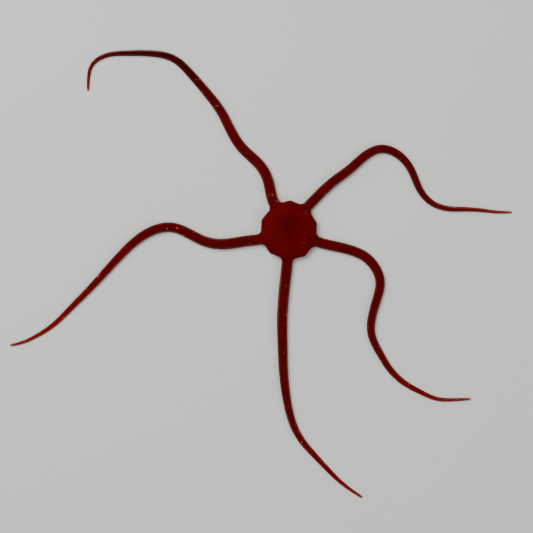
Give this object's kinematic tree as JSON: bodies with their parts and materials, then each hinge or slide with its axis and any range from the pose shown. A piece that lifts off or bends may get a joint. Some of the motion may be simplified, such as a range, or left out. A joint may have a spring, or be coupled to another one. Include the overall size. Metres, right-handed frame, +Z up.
{
  "type": "brittle star",
  "caption": "Life-size brittle star lying flat: a round lobed disc, long tapering plated arms with short side spines spread in curves, and a jawed mouth below.",
  "frame": {"origin": "on the floor, under the middle of the whole spread of the arms", "axes": "+Z up, away from the floor it rests on; +Y towards the top of the picture, which looks straight down; +X towards its right side"},
  "size_m": [0.2761, 0.2473, 0.007],
  "materials": {
    "disc_skin": "fine-grained dark red skin, a little darker in the middle",
    "arm_plate": "satin dark red plates, turning orange-red at the tips, with a few pale specks",
    "arm_spine": "satin red with paler tips",
    "jaw_plate": "pale salmon, matt"
  },
  "bodies": {
    "root": {"disc": "disc_skin", "jaw_1": "jaw_plate", "jaw_2": "jaw_plate", "jaw_3": "jaw_plate", "jaw_4": "jaw_plate", "jaw_5": "jaw_plate", "arm_1_inner": "arm_plate", "arm_1_middle": "arm_plate", "arm_1_outer": "arm_plate", "arm_1_tip": "arm_plate", "arm_2_inner": "arm_plate", "arm_2_middle": "arm_plate", "arm_2_outer": "arm_plate", "arm_2_tip": "arm_plate", "arm_3_inner": "arm_plate", "arm_3_middle": "arm_plate", "arm_3_outer": "arm_plate", "arm_3_tip": "arm_plate", "arm_4_inner": "arm_plate", "arm_4_middle": "arm_plate", "arm_4_outer": "arm_plate", "arm_4_tip": "arm_plate", "arm_5_inner": "arm_plate", "arm_5_middle": "arm_plate", "arm_5_outer": "arm_plate", "arm_5_tip": "arm_plate"}
  },
  "joints": []
}
